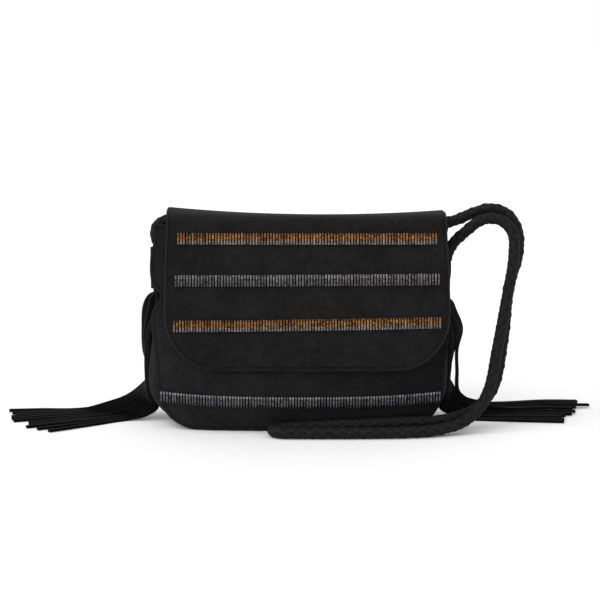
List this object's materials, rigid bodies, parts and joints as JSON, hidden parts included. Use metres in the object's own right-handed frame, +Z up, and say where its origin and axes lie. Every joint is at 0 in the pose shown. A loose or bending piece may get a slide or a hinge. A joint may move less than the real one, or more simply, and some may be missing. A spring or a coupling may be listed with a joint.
{
  "type": "fringed shoulder bag",
  "caption": "Small soft suede shoulder bag with a rounded front flap, beaded stripes, a braided cord strap and a lace fringe at each side, standing on its base.",
  "frame": {"origin": "middle of the flat base that the bag stands on", "axes": "+Z up, -Y out of the front that carries the flap, +X to the right as seen from the front"},
  "size_m": [0.5003, 0.12, 0.1838],
  "materials": {
    "suede": "matt black suede with a paler cut edge",
    "braided_cord": "matt black round braid",
    "beads_copper": "opaque lustred seed beads, copper over silver",
    "beads_mixed": "opaque lustred seed beads, steel over rose copper",
    "beads_grey": "opaque lustred seed beads, silver over gunmetal"
  },
  "bodies": {
    "root": {"front_panel": "suede", "back_panel": "suede", "gusset": "suede", "flap": "suede", "strap_keeper_left": "suede", "strap_keeper_right": "suede", "fringe_left": "suede", "fringe_right": "suede", "strap": "braided_cord", "bead_band_top": "beads_copper", "bead_band_lower": "beads_copper", "bead_band_middle": "beads_mixed", "bead_band_panel": "beads_grey"}
  },
  "joints": []
}
